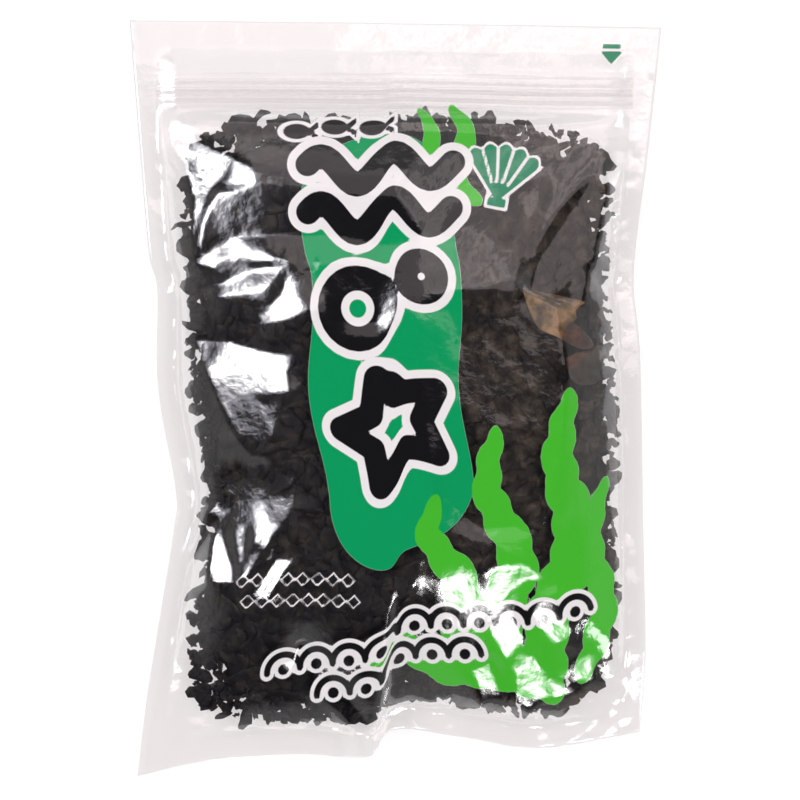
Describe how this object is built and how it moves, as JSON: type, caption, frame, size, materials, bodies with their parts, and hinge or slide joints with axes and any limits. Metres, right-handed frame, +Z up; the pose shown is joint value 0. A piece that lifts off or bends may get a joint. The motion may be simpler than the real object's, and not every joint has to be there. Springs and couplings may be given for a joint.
{
  "type": "pouch of dried wakame",
  "caption": "Clear zip-top plastic pouch, printed in green and black, filled with a dense bed of dried dark wakame leaves and lying on its back.",
  "frame": {"origin": "on the table under the middle of the pouch", "axes": "+X across the pouch, +Y from the bottom seal to the zip, +Z up out of the printed front film"},
  "size_m": [0.19, 0.2701, 0.0321],
  "materials": {
    "printed_film": "clear glossy film with opaque green, black and white ink",
    "film": "clear glossy film",
    "zip": "milky clear moulded strip",
    "wakame": "dry black-olive leaf, crinkled, slightly glossy",
    "brown_leaf": "dry amber-brown leaf, folded, slightly glossy"
  },
  "bodies": {
    "root": {"front_film": "printed_film", "back_film": "film", "zip_rib_strip": "zip", "zip_groove_strip": "zip", "wakame_bed": "wakame", "brown_leaf_upper": "brown_leaf", "brown_leaf_lower": "brown_leaf"}
  },
  "joints": []
}
